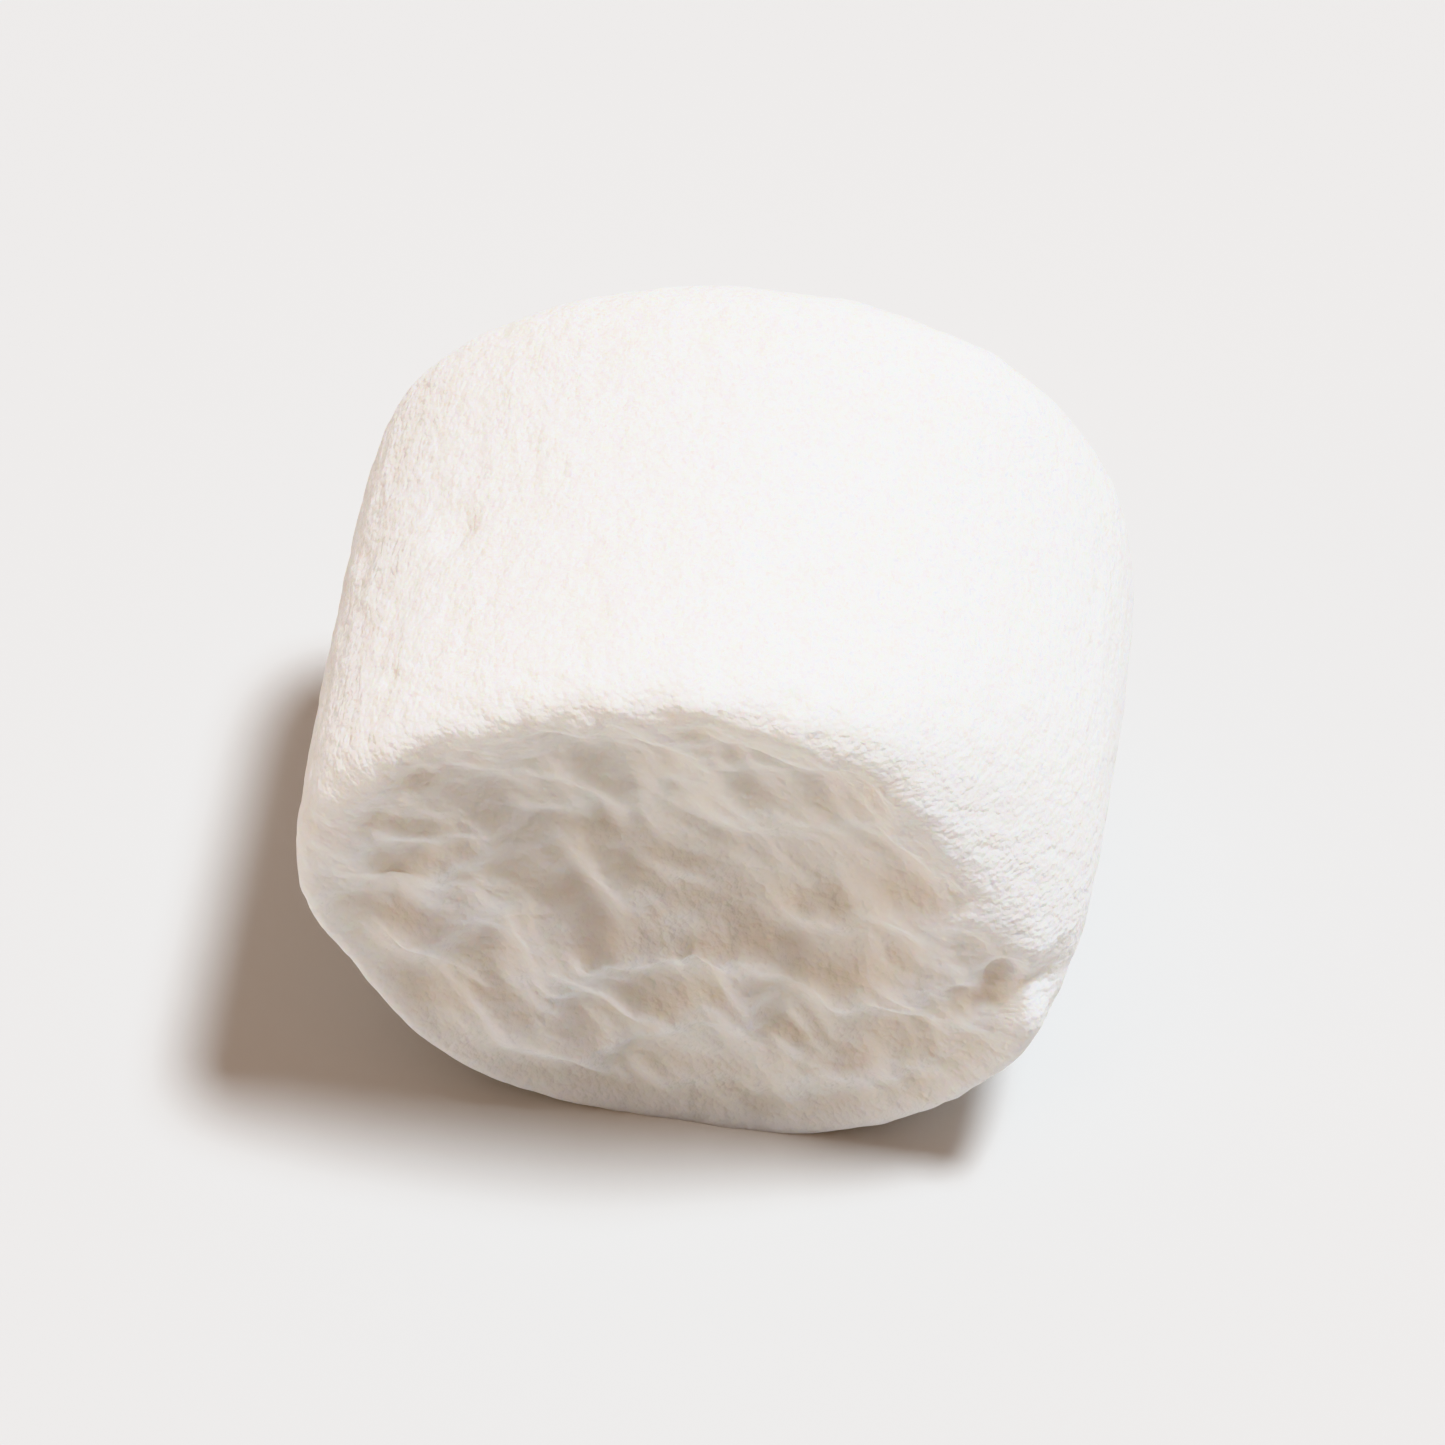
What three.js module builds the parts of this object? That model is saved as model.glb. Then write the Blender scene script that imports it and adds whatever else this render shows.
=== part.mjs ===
// A mini marshmallow: one short, soft cylinder of whipped sugar and gelatine, cut from an
// extruded rope, rolled in starch and lying on its side.
//
// Millimetres, +Z up. The rope ran along Y, and the freshly pinched end faces -Y. The origin
// is on the surface that the marshmallow lies on, under the middle of its bounding box.

import * as THREE from 'three';
import { mergeVertices } from 'three/addons/utils/BufferGeometryUtils.js';

// ---- Driving dimensions, in millimetres unless the name says otherwise ----

const diameter = 12.2;
const length = 8.8;
const flare = 0.008;            // the pinched end is wider than the middle by this share
const frontTightness = 12;      // how square the edge of the pinched end is: 2 would be a ball
const backTightness = 7;        // the older end has relaxed and is rounder
const restHeight = 5.62;        // from the rope's axis down to the flat that it lies on

// The rope's section is not quite round: each lobe count adds waves of this share of the radius.
const lobes = [
  { count: 2, share: 0.010, turn: 0.35 },
  { count: 3, share: 0.011, turn: 1.10 },
  { count: 5, share: 0.005, turn: 0.20 },
];

// Flats where the soft skin was pressed, the last being the one that it lies on. facing is the
// way a flat looks, out its distance from the middle, and softness how far the skin turns into it.
const flats = [
  { facing: [0.70, -0.63, 0.34], out: 6.4, softness: 0.9 },
  { facing: [0, 0, -1], out: restHeight, softness: 0.05 },
];

// Soft dents from the neighbours in the bag, and pits where a bubble broke. angle is round the
// rope from +X towards +Z, in degrees, out and along are the place as a share of the radius and
// of half the length, +1 at the back, and a depth below 0 is a swelling.
const dents = [
  { angle: 46, out: 1.0, along: 1.0, reach: 2.4, depth: -0.22 },
  { angle: 8, out: 1.0, along: 0.15, reach: 4.6, depth: -0.24 },
  { angle: -8, out: 0.90, along: -0.90, reach: 0.65, depth: 0.42 },
  { angle: 140, out: 1.0, along: 0.3, reach: 2.6, depth: 0.16 },
  { angle: 205, out: 1.0, along: 0.9, reach: 2.2, depth: 0.34 },
  { angle: 207, out: 1.0, along: -1.0, reach: 2.0, depth: 0.32 },
  { angle: 262, out: 1.0, along: -0.6, reach: 2.0, depth: 0.25 },
  { angle: 199, out: 0.60, along: -1.0, reach: 1.0, depth: 0.42 },
  { angle: 35, out: 0.42, along: -1.0, reach: 1.3, depth: 0.20 },
  { angle: 111, out: 0.51, along: -1.0, reach: 1.6, depth: 0.28 },
  { angle: 300, out: 0.35, along: 1.0, reach: 1.4, depth: 0.30 },
];

// Each end face: slant is the knife's slope across X and Z, dish is the sunk middle, and the
// folds are raised arcs round a centre, a spacing apart. They are strongest at one distance from
// the centre, and weaken over the breadth on either side of it.
const ends = [
  {
    facing: -1,
    slant: [0.015, 0.03],
    dish: { centre: [-0.1, 0.9], reach: 4.0, depth: 0.95 },
    folds: {
      centre: [0.3, 4.4], spacing: 2.1, start: 0.13, wander: 0.55, turn: 2.83, height: 0.50,
      strongest: 6.8, breadth: 1.9,
    },
  },
  {
    facing: 1,
    slant: [-0.03, 0.02],
    dish: { centre: [-0.8, -0.3], reach: 4.4, depth: 0.36 },
    folds: {
      centre: [-8.2, -2.4], spacing: 2.3, start: 0.10, wander: 0.50, turn: 0.60, height: 0.30,
      strongest: 8.0, breadth: 5.0,
    },
  },
];

const crestRoundness = 0.25;    // 0 would be a knife-sharp crest on a fold
const faceMiddle = 0.6;         // dish and folds keep their depth to this share of the radius
const faceEdge = 0.95;          // and have faded out at this one
const cellsAcross = 30;         // mesh cells across an end face, and along a quarter turn
const cellsAlong = 20;          // mesh cells along the length
const crowding = 0.72;          // packs the cells towards the edges: near 0 they are even

const radius = diameter / 2;
const halfLength = length / 2;

// ---- The form, as functions of a place on it ----

const mix = (a, b, share) => a + (b - a) * share;

function smoothstep(low, high, value) {
  const share = Math.min(Math.max((value - low) / (high - low), 0), 1);
  return share * share * (3 - 2 * share);
}

// 1 at no distance, falling along a bell curve to about a third at the reach.
const bell = (distance, reach) => Math.exp(-((distance / reach) ** 2));

// Spaces even steps from -1 to 1 closer together towards both ends.
const spread = (step) => Math.sin(step * crowding * Math.PI / 2) / Math.sin(crowding * Math.PI / 2);

// A place on a cube of half side 1 goes to a closed cylinder of radius 1 and half length 1.
// Each square ring of an end face becomes a circle, with even steps round it.
function cubeToCylinder(cube) {
  const turned = Math.abs(cube.x) < Math.abs(cube.z);
  const [far, near] = turned ? [cube.z, cube.x] : [cube.x, cube.z];
  const angle = far === 0 ? 0 : (near / far) * Math.PI / 4;
  const ahead = spread(far) * Math.cos(angle);
  const aside = spread(far) * Math.sin(angle);
  return new THREE.Vector3(turned ? aside : ahead, spread(cube.y), turned ? ahead : aside);
}

// The cylinder's edges are rounded along a superellipse, and it takes its real size.
function roundOff(place) {
  const across = Math.hypot(place.x, place.z);
  const tightness = mix(frontTightness, backTightness, smoothstep(-0.5, 0.5, place.y));
  const shrink = (across ** tightness + Math.abs(place.y) ** tightness) ** (-1 / tightness);
  return place.clone().multiplyScalar(shrink).multiply(new THREE.Vector3(radius, halfLength, radius));
}

// The lobes of the rope's section, and the flare towards the pinched end.
function ropeSection(point) {
  const angle = Math.atan2(point.z, point.x);
  let scale = 1 - flare * point.y / halfLength;
  for (const lobe of lobes) {
    scale += lobe.share * Math.cos(lobe.count * (angle - lobe.turn));
  }
  point.x *= scale;
  point.z *= scale;
}

// Height of an end face's relief: the dish goes in, and the folds stand up from it. The arcs
// wander, and each fold grows and dies away along its arc.
function faceRelief({ dish, folds }, x, z) {
  const sunk = dish.depth * bell(Math.hypot(x - dish.centre[0], z - dish.centre[1]), dish.reach);
  const away = Math.hypot(x - folds.centre[0], z - folds.centre[1]);
  const bearing = Math.atan2(z - folds.centre[1], x - folds.centre[0]);
  const waves = Math.sin(9 * bearing + folds.turn) + 0.4 * Math.sin(5 * bearing - 1.3 * away);
  const count = (away + folds.wander * waves) / folds.spacing + folds.start;
  const crest = 1 - Math.hypot(Math.sin(Math.PI * count), crestRoundness);
  const uneven = 0.7 + 0.3 * Math.sin(3 * bearing + 1.1 * away);
  const strength = bell(away - folds.strongest, folds.breadth) * uneven;
  return folds.height * strength * crest - sunk;
}

function shapeEnds(point, across) {
  for (const end of ends) {
    const nearness = smoothstep(0.2, 1, end.facing * point.y / halfLength);
    const onFace = end.facing * point.y > 0 ? 1 - smoothstep(faceMiddle, faceEdge, across) : 0;
    const slope = end.slant[0] * point.x + end.slant[1] * point.z;
    point.y += nearness * slope + end.facing * onFace * faceRelief(end, point.x, point.z);
  }
}

// Dents push the skin straight towards the middle of the marshmallow.
function press(point) {
  const start = point.clone();
  const outward = start.clone().normalize();
  for (const dent of dents) {
    const angle = THREE.MathUtils.degToRad(dent.angle);
    const out = dent.out * radius;
    const centre = new THREE.Vector3(out * Math.cos(angle), dent.along * halfLength, out * Math.sin(angle));
    point.addScaledVector(outward, -dent.depth * bell(start.distanceTo(centre), dent.reach));
  }
}

// What stands out past a flat is pushed back to it, and near it the skin turns smoothly into it.
function flatten(point) {
  for (const { facing, out, softness } of flats) {
    const towards = new THREE.Vector3(...facing).normalize();
    const clear = (out - point.dot(towards)) / softness;
    if (clear < 1) {
      point.addScaledVector(towards, softness * (clear - Math.max(clear + 1, 0) ** 2 / 4));
    }
  }
}

function skin(cube) {
  const place = cubeToCylinder(cube);
  const point = roundOff(place);
  const across = Math.hypot(point.x, point.z) / radius;
  ropeSection(point);
  shapeEnds(point, across);
  press(point);
  flatten(point);
  return point;
}

// ---- The solid ----

function marshmallowGeometry() {
  const box = new THREE.BoxGeometry(2, 2, 2, cellsAcross, cellsAlong, cellsAcross);
  box.deleteAttribute('normal');
  box.deleteAttribute('uv');
  const geometry = mergeVertices(box);
  const corners = geometry.getAttribute('position');
  for (let i = 0; i < corners.count; i += 1) {
    const point = skin(new THREE.Vector3().fromBufferAttribute(corners, i));
    corners.setXYZ(i, point.x, point.y, point.z);
  }
  geometry.computeBoundingBox();
  const middle = geometry.boundingBox.getCenter(new THREE.Vector3());
  geometry.translate(-middle.x, -middle.y, restHeight);
  geometry.computeVertexNormals();
  return geometry;
}

const marshmallow = new THREE.Mesh(
  marshmallowGeometry(),
  new THREE.MeshStandardMaterial({ color: 0xf6f3ee, roughness: 0.9, metalness: 0 }),
);
marshmallow.name = 'marshmallow';

const part = new THREE.Group();
part.add(marshmallow);

export default part;
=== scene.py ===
import bpy
import numpy as np
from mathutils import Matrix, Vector


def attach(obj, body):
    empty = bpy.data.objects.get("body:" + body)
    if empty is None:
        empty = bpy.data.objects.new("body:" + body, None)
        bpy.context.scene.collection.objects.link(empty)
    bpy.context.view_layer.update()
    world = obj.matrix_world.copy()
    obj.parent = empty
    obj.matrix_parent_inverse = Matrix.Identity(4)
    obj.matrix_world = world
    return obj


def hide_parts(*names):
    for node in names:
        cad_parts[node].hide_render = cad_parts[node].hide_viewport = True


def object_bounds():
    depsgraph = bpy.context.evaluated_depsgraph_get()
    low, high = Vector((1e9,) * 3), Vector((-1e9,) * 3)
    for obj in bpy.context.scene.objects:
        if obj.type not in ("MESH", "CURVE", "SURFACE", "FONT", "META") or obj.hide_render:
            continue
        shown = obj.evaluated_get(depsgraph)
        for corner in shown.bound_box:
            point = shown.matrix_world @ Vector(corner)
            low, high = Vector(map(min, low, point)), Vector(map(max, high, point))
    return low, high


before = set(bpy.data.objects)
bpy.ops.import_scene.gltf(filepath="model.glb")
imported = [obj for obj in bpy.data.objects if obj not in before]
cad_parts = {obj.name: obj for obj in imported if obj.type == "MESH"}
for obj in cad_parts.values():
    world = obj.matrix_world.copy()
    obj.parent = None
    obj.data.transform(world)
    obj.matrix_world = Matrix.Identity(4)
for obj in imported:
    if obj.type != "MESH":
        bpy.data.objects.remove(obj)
cad_low, cad_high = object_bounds()

# ---- The foam body ----
# One piece of whipped sugar, syrup and gelatine. It is extruded as a rope, a blade pinches it
# off at both ends, which leaves each end dished and folded, and it sets lying on its side.

millimetre = 0.001

# Millimetres from here to the skin. The pinched end faces -Y.
diameter = 12.2
length = 8.8
flare = 0.008  # how much wider the pinched end is than the middle, as a share
front_tightness = 12  # how square the pinched end's edge is: 2 would be a ball
back_tightness = 7
rest_height = 5.62

# Waves in the rope's section: how many, how high as a share of the radius, and how far round.
lobes = [
    {"count": 2, "share": 0.010, "turn": 0.35},
    {"count": 3, "share": 0.011, "turn": 1.10},
    {"count": 5, "share": 0.005, "turn": 0.20},
]

# Where the soft skin was pressed flat, the last being the flat that it lies on.
flats = [
    {"facing": (0.70, -0.63, 0.34), "out": 6.4, "softness": 0.9},
    {"facing": (0, 0, -1), "out": rest_height, "softness": 0.05},
]

# Dents and broken bubbles, by the angle from +X towards +Z, with out and along as shares of the
# radius and of half the length. A depth below 0 is a swelling.
dents = [
    {"angle": 46, "out": 1.0, "along": 1.0, "reach": 2.4, "depth": -0.22},
    {"angle": 8, "out": 1.0, "along": 0.15, "reach": 4.6, "depth": -0.24},
    {"angle": -8, "out": 0.90, "along": -0.90, "reach": 0.65, "depth": 0.42},
    {"angle": -10, "out": 0.94, "along": -0.94, "reach": 0.50, "depth": 0.28},
    {"angle": 140, "out": 1.0, "along": 0.3, "reach": 2.6, "depth": 0.16},
    {"angle": 205, "out": 1.0, "along": 0.9, "reach": 2.2, "depth": 0.34},
    {"angle": 207, "out": 1.0, "along": -1.0, "reach": 2.0, "depth": 0.32},
    {"angle": 262, "out": 1.0, "along": -0.6, "reach": 2.0, "depth": 0.25},
    {"angle": 199, "out": 0.60, "along": -1.0, "reach": 1.0, "depth": 0.42},
    {"angle": 35, "out": 0.42, "along": -1.0, "reach": 1.3, "depth": 0.20},
    {"angle": 111, "out": 0.51, "along": -1.0, "reach": 1.6, "depth": 0.28},
    {"angle": 134, "out": 1.0, "along": -0.05, "reach": 0.38, "depth": 0.14},
    {"angle": 300, "out": 0.35, "along": 1.0, "reach": 1.4, "depth": 0.30},
]

# The knife's slope across x and z, the sunk middle, and the raised folds round a centre.
ends = [
    {
        "facing": -1,
        "slant": (0.015, 0.03),
        "dish": {"centre": (-0.1, 0.9), "reach": 4.0, "depth": 0.95},
        "folds": {
            "centre": (0.3, 4.4), "spacing": 2.1, "start": 0.13, "wander": 0.55, "turn": 2.83,
            "height": 0.50, "strongest": 6.8, "breadth": 1.9,
        },
    },
    {
        "facing": 1,
        "slant": (-0.03, 0.02),
        "dish": {"centre": (-0.8, -0.3), "reach": 4.4, "depth": 0.36},
        "folds": {
            "centre": (-8.2, -2.4), "spacing": 2.3, "start": 0.10, "wander": 0.50, "turn": 0.60,
            "height": 0.30, "strongest": 8.0, "breadth": 5.0,
        },
    },
]

crest_roundness = 0.25  # 0 would be a knife-sharp crest on a fold
blade_way = np.array([0.55, 0.0, -0.835])  # the way that the blade smeared the end faces

# Shares of the radius. The dish and the folds are whole as far as face_middle and gone at
# face_edge. The rough upper edge, the lip and its furrow have their middles at the others.
face_middle = 0.6
face_edge = 0.95
edge_place = 0.93
lip_place = 0.945
furrow_place = 0.86

cells_across = 144
cells_along = 96
crowding = 0.4  # how much the mesh cells draw together at the edges: near 0 they are even

# Heights of the fine relief.
leather_height = 0.035
side_puff_height = 0.020
blotch_height = 0.33
face_puff_height = 0.10
face_drop = 0.12  # an end face sinks by this, so that its blotches stay inside the solid
back_share = 0.4  # the older end's relief has relaxed to this share
teeth_height = 0.06
lip_height = 0.20
dimple_height = 0.006
pit_depth = 0.07

radius = diameter / 2
half_length = length / 2


def smoothstep(low, high, value):
    """0 below low and 1 above high, joined by 3 s^2 - 2 s^3 of the share s of the way between."""
    share = np.clip((value - low) / (high - low), 0, 1)
    return share * share * (3 - 2 * share)


def bell(distance, reach):
    """exp of minus the squared share of the reach: 1 at no distance and about a third there."""
    return np.exp(-((distance / reach) ** 2))


def spread(step):
    """Even steps from -1 to 1, drawn together towards both ends as a sine does."""
    return np.sin(step * crowding * np.pi / 2) / np.sin(crowding * np.pi / 2)


def cube_skin(across, along):
    """Six grids of two parameters over a cube of half side 1, on each of which one coordinate
    stays at -1 or 1. Points that grids share become one. Returns the points and the quads."""
    steps = np.array([across, along, across])
    places = []
    quads = []
    count = 0
    for fixed in range(3):
        first = (fixed + 1) % 3
        second = (fixed + 2) % 3
        u, v = np.meshgrid(np.arange(steps[first] + 1), np.arange(steps[second] + 1), indexing="ij")
        for side in (0, 1):
            place = np.zeros(u.shape + (3,), int)
            place[..., fixed] = side * steps[fixed]
            place[..., first] = u
            place[..., second] = v
            number = count + np.arange(u.size).reshape(u.shape)
            ring = [number[:-1, :-1], number[1:, :-1], number[1:, 1:], number[:-1, 1:]]
            if side == 0:
                ring.reverse()
            places.append(place.reshape(-1, 3))
            quads.append(np.stack(ring, axis=-1).reshape(-1, 4))
            count += u.size
    lattice, number = np.unique(np.concatenate(places), axis=0, return_inverse=True)
    return 2 * lattice / steps - 1, number.reshape(-1)[np.concatenate(quads)]


def closed_cylinder(cube):
    """The cube's places on a closed cylinder of radius 1 and half length 1: a square ring of an
    end face becomes a circle, with the angle in even steps along each side of the square."""
    x, y, z = cube.T
    turned = np.abs(x) < np.abs(z)
    far = np.where(turned, z, x)
    near = np.where(turned, x, z)
    angle = np.divide(near, far, out=np.zeros_like(far), where=far != 0) * np.pi / 4
    ahead = spread(far) * np.cos(angle)
    aside = spread(far) * np.sin(angle)
    return np.stack([np.where(turned, aside, ahead), spread(y), np.where(turned, ahead, aside)], 1)


def rounded_off(place):
    """The cylinder drawn in along each ray by (across^n + along^n)^(-1/n), which rounds both
    edges, with n falling from the pinched end to the back, and then at its real size."""
    across = np.hypot(place[:, 0], place[:, 2])
    backness = smoothstep(-0.5, 0.5, place[:, 1])
    tightness = front_tightness + (back_tightness - front_tightness) * backness
    shrink = (across ** tightness + np.abs(place[:, 1]) ** tightness) ** (-1 / tightness)
    return place * shrink[:, None] * np.array([radius, half_length, radius])


def rope_section(point):
    """The radius times 1, plus a cosine of the angle for each lobe, plus the flare."""
    angle = np.arctan2(point[:, 2], point[:, 0])
    scale = 1 - flare * point[:, 1] / half_length
    for lobe in lobes:
        scale = scale + lobe["share"] * np.cos(lobe["count"] * (angle - lobe["turn"]))
    return point * np.stack([scale, np.ones_like(scale), scale], 1)


def face_relief(end, x, z):
    """Minus a bell for the dish, plus folds: 1 less the size of a sine of the distance from the
    folds' centre, which has a crest for each spacing. The distance wanders with the bearing, and
    the folds are highest at one distance and swell along each arc."""
    dish = end["dish"]
    folds = end["folds"]
    sunk = dish["depth"] * bell(np.hypot(x - dish["centre"][0], z - dish["centre"][1]), dish["reach"])
    away = np.hypot(x - folds["centre"][0], z - folds["centre"][1])
    bearing = np.arctan2(z - folds["centre"][1], x - folds["centre"][0])
    waves = np.sin(9 * bearing + folds["turn"]) + 0.4 * np.sin(5 * bearing - 1.3 * away)
    count = (away + folds["wander"] * waves) / folds["spacing"] + folds["start"]
    crest = 1 - np.hypot(np.sin(np.pi * count), crest_roundness)
    uneven = 0.7 + 0.3 * np.sin(3 * bearing + 1.1 * away)
    strength = bell(away - folds["strongest"], folds["breadth"]) * uneven
    return folds["height"] * strength * crest - sunk


def shaped_ends(point, across):
    """Each end slants by its slopes times x and z. Its relief, at places strayed by a little
    noise, is added along the axis: all of it inside face_middle and none past face_edge."""
    x, y, z = point.T
    straying = [0.30 * gradient_noise(point / 0.9, seed) for seed in (1, 2)]
    for end in ends:
        nearness = smoothstep(0.2, 1, end["facing"] * y / half_length)
        on_face = np.where(end["facing"] * y > 0, 1 - smoothstep(face_middle, face_edge, across), 0)
        slope = end["slant"][0] * x + end["slant"][1] * z
        relief = face_relief(end, x + straying[0], z + straying[1])
        y = y + nearness * slope + end["facing"] * on_face * relief
    return np.stack([x, y, z], 1)


def pressed(point):
    """Each dent moves the skin towards the middle by its depth times a bell of the distance."""
    inward = -point / np.linalg.norm(point, axis=1)[:, None]
    moved = point
    for dent in dents:
        angle = np.radians(dent["angle"])
        out = dent["out"] * radius
        centre = np.array([out * np.cos(angle), dent["along"] * half_length, out * np.sin(angle)])
        depth = dent["depth"] * bell(np.linalg.norm(point - centre, axis=1), dent["reach"])
        moved = moved + depth[:, None] * inward
    return moved


def facing(flat):
    """The direction that a flat faces, divided by its length."""
    return np.array(flat["facing"]) / np.linalg.norm(flat["facing"])


def clearance(point, flat):
    """How far inside a flat's plane each point is: the plane's distance from the middle, less
    the point's distance along the flat's direction."""
    return flat["out"] - point @ facing(flat)


def flattened(point):
    """Past a flat the clearance becomes 0. Within the softness on either side of its plane it
    becomes a quarter of the square of 1 plus its share of the softness, times the softness."""
    for flat in flats:
        gap = clearance(point, flat)
        share = gap / flat["softness"]
        eased = flat["softness"] * np.maximum(share + 1, 0) ** 2 / 4
        point = point + np.where(share < 1, gap - eased, 0)[:, None] * facing(flat)
    return point


def outward(point, quads):
    """At each point, the sum of the cross products of the diagonals of the quads round it."""
    diagonals = point[quads[:, 2]] - point[quads[:, 0]], point[quads[:, 3]] - point[quads[:, 1]]
    crossed = np.cross(*diagonals)
    total = np.stack([
        np.bincount(quads.ravel(), np.repeat(crossed[:, axis], 4), len(point)) for axis in range(3)
    ], 1)
    return total / np.linalg.norm(total, axis=1)[:, None]


repeat = 256  # noises come again after this many unit cells


def picked_for(cell, shuffled):
    """A number for each unit cell, by adding its three coordinates in turn to the last number
    and looking the sum up in a shuffled list."""
    i, j, k = cell.T % repeat
    return shuffled[(shuffled[(shuffled[i] + j) % repeat] + k) % repeat]


def gradient_noise(place, seed):
    """Smooth noise from about -1 to 1: at each corner of the unit cell round a place, a random
    direction times the way there, blended by 6 t^5 - 15 t^4 + 10 t^3."""
    draw = np.random.default_rng(seed)
    shuffled = draw.permutation(repeat)
    directions = draw.normal(size=(repeat, 3))
    directions /= np.linalg.norm(directions, axis=1)[:, None]
    cell = np.floor(place).astype(int)
    part = place - cell
    ease = part ** 3 * (part * (part * 6 - 15) + 10)
    height = np.zeros(len(place))
    for corner in np.ndindex(2, 2, 2):
        picked = directions[picked_for(cell + corner, shuffled)]
        share = np.prod(np.where(corner, ease, 1 - ease), axis=1)
        height += share * np.sum(picked * (part - corner), axis=1)
    return 1.6 * height


def broken_bubbles(place, seed):
    """Round pits where a bubble of the foam broke, in a third of the unit cells: whole near a
    random middle, 0 from a random reach on, and as deep as the reach's share of the widest."""
    draw = np.random.default_rng(seed)
    shuffled = draw.permutation(repeat)
    middles = draw.uniform(0.2, 0.8, size=(repeat, 3))
    has_pit = draw.uniform(size=repeat) < 0.34
    narrowest = 0.14
    widest = 0.32
    reaches = np.where(has_pit, draw.uniform(narrowest, widest, size=repeat), 0.0)
    cell = np.floor(place).astype(int)
    deepest = np.zeros(len(place))
    for step in np.ndindex(3, 3, 3):
        near = cell + step - 1
        picked = picked_for(near, shuffled)
        away = np.linalg.norm(place - near - middles[picked], axis=1)
        reach = np.maximum(reaches[picked], 1e-6)
        deepest = np.maximum(deepest, (1 - smoothstep(0.3, 1.0, away / reach)) * reach / widest)
    return deepest


def puffs(place, seed):
    """Round bumps with narrow creases between them, from about -1 to 1: twice the size of a
    noise, eased to a small value where the noise is 0, less 1."""
    return 2 * np.hypot(gradient_noise(place, seed), 0.12) - 1


def skin_relief(point, on_face, on_edge, on_lip):
    """Height of the fine relief: the side's is noise plus low puffs, and an end face's is wide
    blotches plus puffs, drawn out along the blade's way by halving that part of the place, and
    falls from the pinched end to the older one. The pinched end's upper edge adds noise and its
    lower edge a lip, and dimples and pits are added all over. Each noise reads the place divided
    by the width of its cells, and the places stray a little with another noise."""
    bend = 0.5 * np.stack([gradient_noise(point / 1.4, seed) for seed in (11, 12, 13)], 1)
    leather = gradient_noise(point * np.array([1.0, 0.7, 1.0]) / 1.6 + bend, 21)
    side_puffs = puffs(point / 0.80 + bend, 22) + 0.6 * gradient_noise(point / 0.42 + bend, 23)
    blotches = gradient_noise(point / 1.7 + bend, 24)
    smeared = point - 0.5 * (point @ blade_way)[:, None] * blade_way
    face_puffs = puffs(smeared / 0.66 + bend, 37) + 0.4 * gradient_noise(smeared / 0.32 + bend, 38)
    teeth = gradient_noise(point / 0.8 + bend, 41)
    dimples = gradient_noise(point / 0.20, 51)
    pits = broken_bubbles(point / 1.1, 61)
    side = leather_height * leather + side_puff_height * side_puffs
    sharpness = back_share + (1 - back_share) * smoothstep(-0.3, 0.3, -point[:, 1] / half_length)
    face = sharpness * (blotch_height * blotches + face_puff_height * face_puffs - face_drop)
    edge = teeth_height * teeth * on_edge + lip_height * on_lip
    all_over = dimple_height * dimples - pit_depth * pits
    return side * (1 - on_face) + face * on_face + edge + all_over


cube, quads = cube_skin(cells_across, cells_along)
rounded = rounded_off(closed_cylinder(cube))
across = np.hypot(rounded[:, 0], rounded[:, 2]) / radius
form = pressed(shaped_ends(rope_section(rounded), across))

# Masks for the relief: the end faces as far as the pressed flat, the pinched end's upper edge
# and the edge of that flat, and a lip along the lower edge, with a furrow inside it.
room = clearance(form, flats[0])
on_face = (1 - smoothstep(0.78, 0.97, across)) * smoothstep(0, 0.8, room)
facing_up = smoothstep(-0.25, 0.35, rounded[:, 2] / radius)
at_front = smoothstep(0.6, 0.95, -rounded[:, 1] / half_length)
on_edge = np.maximum(bell(across - edge_place, 0.09), bell(room - 0.2, 0.5)) * at_front * facing_up
lip = bell(across - lip_place, 0.035) - 0.4 * bell(across - furrow_place, 0.05)
on_lip = lip * (rounded[:, 1] < 0) * (1 - facing_up)

# The relief stands on the form, whose middle goes to the middle of the solid's box.
relief = skin_relief(form, on_face, on_edge, on_lip)
skin = flattened(form + relief[:, None] * outward(form, quads))
middle = (np.array(cad_low) + np.array(cad_high)) / 2 / millimetre
form_middle = (form.min(axis=0) + form.max(axis=0)) / 2
skin += [middle[0] - form_middle[0], middle[1] - form_middle[1], rest_height]

# How hollow each place is: a half where the relief is 0, less where it stands up, and more
# where it is sunk or the dish has taken the face deeper than rim_depth from its end. The foam's
# colour darkens with it: painted shade in the hollows and the sunk dish.
relief_range = 0.45
rim_depth = 0.45
sunk_in = half_length - np.abs(form[:, 1]) - rim_depth
painted_hollow_shade = np.clip(0.5 - relief / relief_range + 0.6 * sunk_in * on_face, 0, 1)

foam_mesh = bpy.data.meshes.new("foam_body")
foam_mesh.from_pydata(skin * millimetre, [], quads)
foam_mesh.polygons.foreach_set("use_smooth", np.ones(len(quads), bool))
# This attribute carries the painted shade for the hollows and the sunk dish.
hollow_shade = foam_mesh.attributes.new("hollow_shade", "FLOAT", "POINT")
hollow_shade.data.foreach_set("value", painted_hollow_shade.astype(np.float32))
cut = foam_mesh.attributes.new("cut", "FLOAT", "POINT")
cut.data.foreach_set("value", on_face.astype(np.float32))
foam_mesh.update()
foam_body = bpy.data.objects.new("foam_body", foam_mesh)
bpy.context.scene.collection.objects.link(foam_body)


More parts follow.
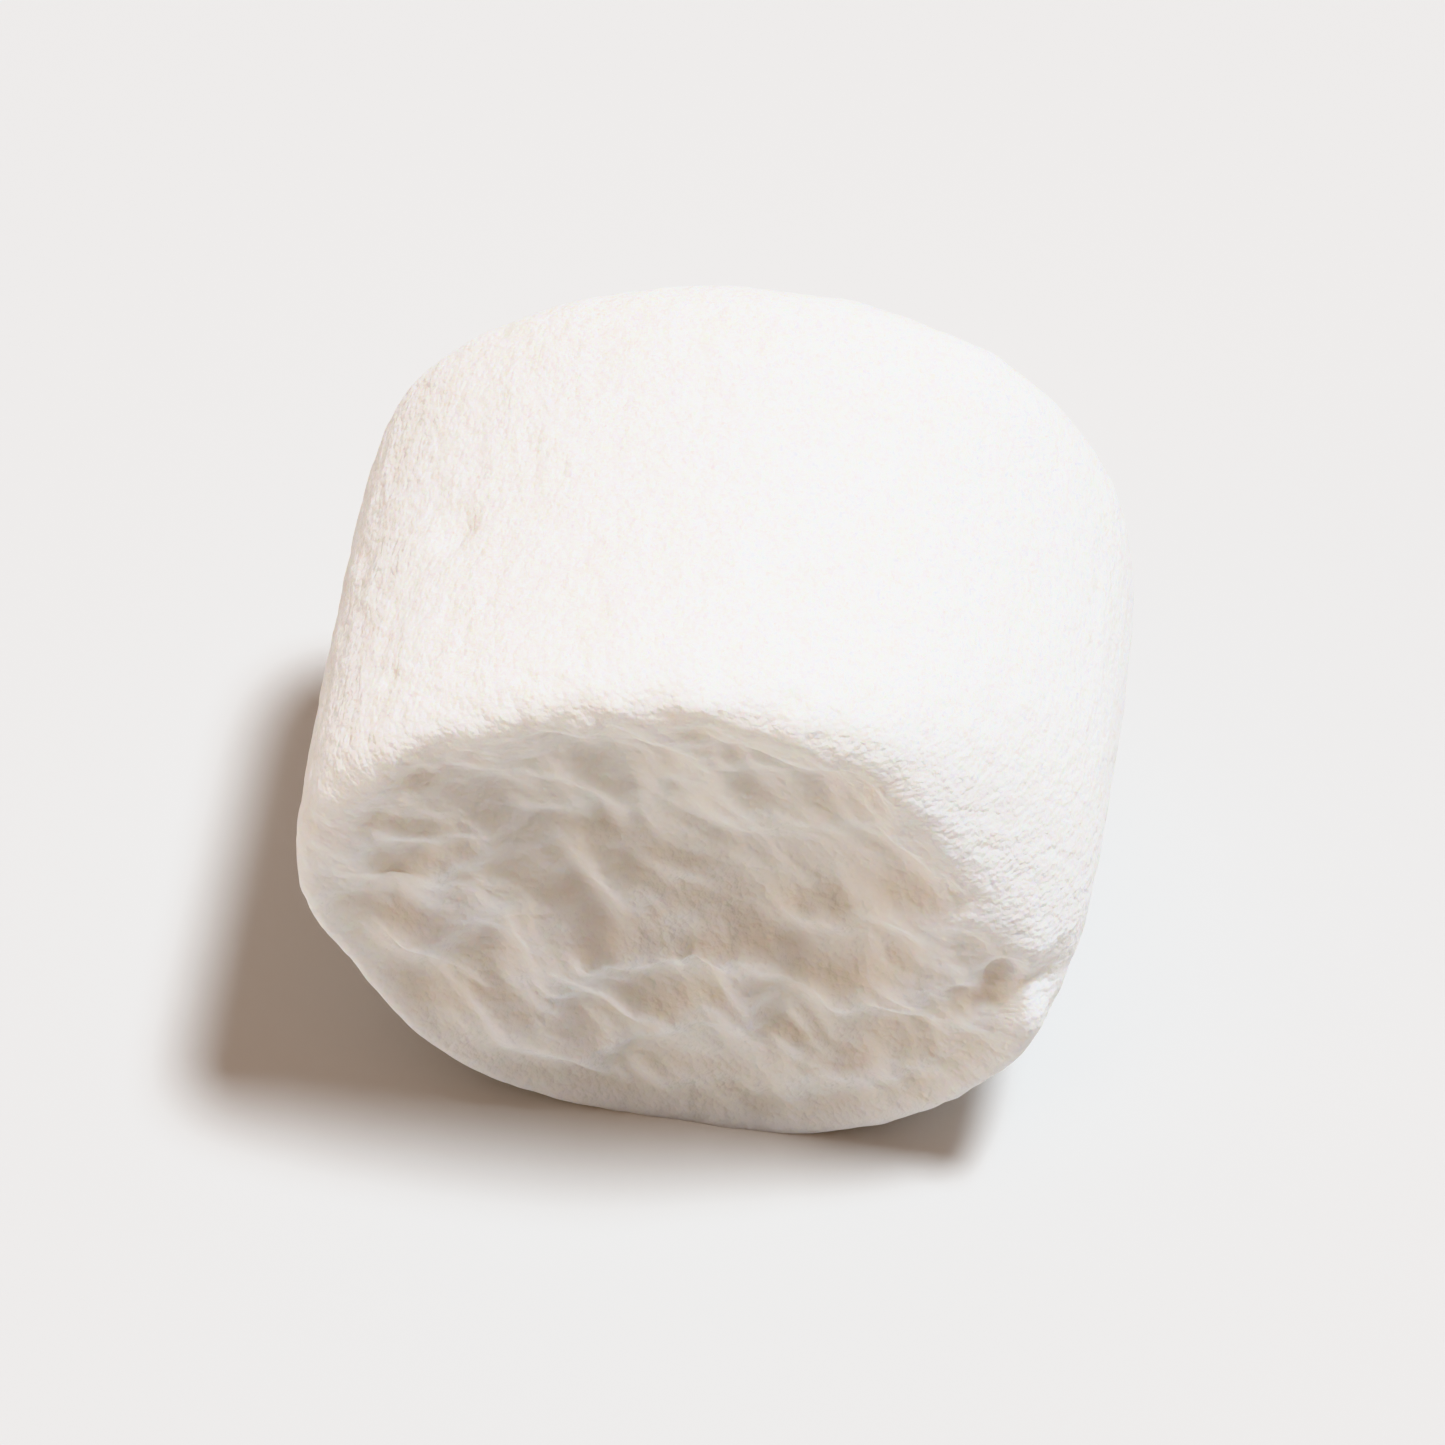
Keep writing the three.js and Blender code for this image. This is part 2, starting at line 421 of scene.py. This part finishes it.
class Finish:
    """The nodes of one material. node() makes any of them from its type, its settings, which
    are set first, and the values or links of its sockets, by name or by number."""

    def __init__(self, name):
        self.material = bpy.data.materials.new(name)
        self.material.use_nodes = True
        self.nodes = self.material.node_tree.nodes
        self.nodes.clear()

    def node(self, kind, settings, sockets, result=0):
        made = self.nodes.new(kind)
        for name, value in settings.items():
            setattr(made, name, value)
        for name, value in sockets.items():
            if isinstance(value, Field):
                self.material.node_tree.links.new(value.socket, made.inputs[name])
            else:
                made.inputs[name].default_value = value
        return Field(self, made.outputs[result])

    def mix(self, first, second, share):
        """The first colour, turning into the second as the share goes from 0 to 1."""
        return self.node("ShaderNodeMix", {"data_type": "RGBA"}, {0: share, 6: first, 7: second}, 2)

    def show(self, surface):
        """Puts a shader on the material's surface."""
        output = self.nodes.new("ShaderNodeOutputMaterial")
        self.material.node_tree.links.new(surface.socket, output.inputs["Surface"])


class Field:
    """A socket's value all over a surface. Arithmetic on fields and numbers adds Math nodes."""

    def __init__(self, finish, socket):
        self.finish = finish
        self.socket = socket

    def maths(self, operation, first, second):
        return self.finish.node("ShaderNodeMath", {"operation": operation}, {0: first, 1: second})

    def __add__(self, other):
        return self.maths("ADD", self, other)

    def __radd__(self, other):
        return self.maths("ADD", other, self)

    def __sub__(self, other):
        return self.maths("SUBTRACT", self, other)

    def __rsub__(self, other):
        return self.maths("SUBTRACT", other, self)

    def __mul__(self, other):
        return self.maths("MULTIPLY", self, other)

    def __rmul__(self, other):
        return self.maths("MULTIPLY", other, self)


foam = Finish("starched_foam")
place = foam.node("ShaderNodeTexCoord", {}, {}, "Object")
in_millimetres = foam.node(
    "ShaderNodeVectorMath", {"operation": "SCALE"}, {"Vector": place, "Scale": 1000.0}
)
# Painted shade: this attribute darkens the colour in the hollows and the sunk dish.
sunk = foam.node("ShaderNodeAttribute", {"attribute_name": "hollow_shade"}, {}, "Fac")
cut_face = foam.node("ShaderNodeAttribute", {"attribute_name": "cut"}, {}, "Fac")
lumps = foam.node("ShaderNodeTexNoise", {}, {"Vector": in_millimetres, "Scale": 2.6, "Detail": 1.0})
patches = foam.node("ShaderNodeTexNoise", {}, {"Vector": in_millimetres, "Scale": 0.45, "Detail": 3.0})
starch = foam.node(
    "ShaderNodeTexNoise", {}, {"Vector": in_millimetres, "Scale": 3.4, "Detail": 3.0, "Roughness": 0.55}
)
grains = foam.node("ShaderNodeTexVoronoi", {}, {"Vector": in_millimetres, "Scale": 9.0})

# Bare foam is a little creamier than starch, faintly in patches and on the cut face. The darker
# cream in the hollows and the sunk dish is mostly painted shade, with a little bare foam.
bareness_and_shade = sunk * 0.8 + cut_face * 0.05 + patches * 0.2 + lumps * 0.2 + starch * 0.15
bare_and_shade_share = foam.node(
    "ShaderNodeMapRange",
    {"interpolation_type": "SMOOTHSTEP"},
    {"Value": bareness_and_shade, "From Min": 0.57, "From Max": 1.02},
)
# The second colour stands for bare foam and for painted shade together.
colour = foam.mix((0.958, 0.956, 0.942, 1), (0.908, 0.880, 0.828, 1), bare_and_shade_share)

# Lumps, more on the cut face, under a coat of caked starch with round grains.
roughened = lumps * (cut_face * 0.5 + 0.3) + starch * 0.8 - grains * 0.2
grain_height = foam.node(
    "ShaderNodeBump", {}, {"Height": roughened, "Distance": 0.00012, "Strength": 0.8}
)
foam.show(foam.node(
    "ShaderNodeBsdfPrincipled",
    {"subsurface_method": "RANDOM_WALK"},
    {
        "Base Color": colour,
        "Roughness": 0.86 + starch * 0.1,
        "Normal": grain_height,
        "Specular IOR Level": 0.3,
        "Subsurface Weight": 0.38,
        "Subsurface Radius": (1.0, 0.65, 0.35),
        "Subsurface Scale": 0.0013,
        "Sheen Weight": 0.08,
        "Sheen Roughness": 0.6,
    },
))
foam_mesh.materials.append(foam.material)

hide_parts("marshmallow")
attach(foam_body, "root")

# ---- The floor ----
# A sheet of matt white paper that the marshmallow lies on. It is one flat quad, wide enough
# to fill the view from every side.

floor_half = 2.0
floor_mesh = bpy.data.meshes.new("paper_floor")
corners = floor_half * np.array([(-1, -1, 0), (1, -1, 0), (1, 1, 0), (-1, 1, 0)])
floor_mesh.from_pydata(corners, [], [(0, 1, 2, 3)])
paper_floor = bpy.data.objects.new("paper_floor", floor_mesh)
bpy.context.scene.collection.objects.link(paper_floor)
paper = Finish("matt_paper")
paper.show(paper.node(
    "ShaderNodeBsdfPrincipled",
    {},
    {"Base Color": (0.65, 0.645, 0.635, 1), "Roughness": 0.9, "Specular IOR Level": 0.2},
))
floor_mesh.materials.append(paper.material)

# ---- Light and camera ----
# A soft, cool key from above, a little to the right and behind, and a wide warm sky round it.
# A low warm fill comes from the left and front, and a faint warm glow from all round.


def add_sun(name, from_direction, energy, colour, width):
    """A sun lamp whose light comes from a direction, with a soft edge of that many degrees."""
    sun = bpy.data.objects.new(name, bpy.data.lights.new(name, "SUN"))
    sun.data.energy = energy
    sun.data.angle = np.radians(width)
    sun.data.color = colour
    sun.rotation_mode = "QUATERNION"
    sun.rotation_quaternion = Vector(from_direction).to_track_quat("Z", "Y")
    bpy.context.scene.collection.objects.link(sun)


add_sun("key", (0.28, 0.13, 0.95), 3.9, (0.835, 0.927, 1.0), 12)
add_sun("sky", (0.05, 0.15, 0.95), 1.2, (1.0, 0.78, 0.66), 100)
add_sun("fill", (-0.88, -0.45, 0.12), 0.66, (1.0, 0.84, 0.70), 16)

world = bpy.data.worlds.new("glow")
world.use_nodes = True
background = world.node_tree.nodes["Background"]
background.inputs["Color"].default_value = (1.0, 0.53, 0.22, 1)
background.inputs["Strength"].default_value = 0.09
bpy.context.scene.world = world

# The camera looks steeply down from the front, a little from the right.
azimuth = np.radians(8)
elevation = np.radians(57)
distance = 0.19
back = np.array([
    np.sin(azimuth) * np.cos(elevation), -np.cos(azimuth) * np.cos(elevation), np.sin(elevation),
])
target = np.array([0.0, -0.0002, 0.0052])
camera = bpy.data.objects.new("camera", bpy.data.cameras.new("camera"))
camera.data.lens = 300
camera.data.clip_start = 0.01
camera.location = target + distance * back
camera.rotation_mode = "QUATERNION"
camera.rotation_quaternion = Vector(back).to_track_quat("Z", "Y")
bpy.context.scene.collection.objects.link(camera)
bpy.context.scene.camera = camera
bpy.context.scene.view_settings.view_transform = "Khronos PBR Neutral"
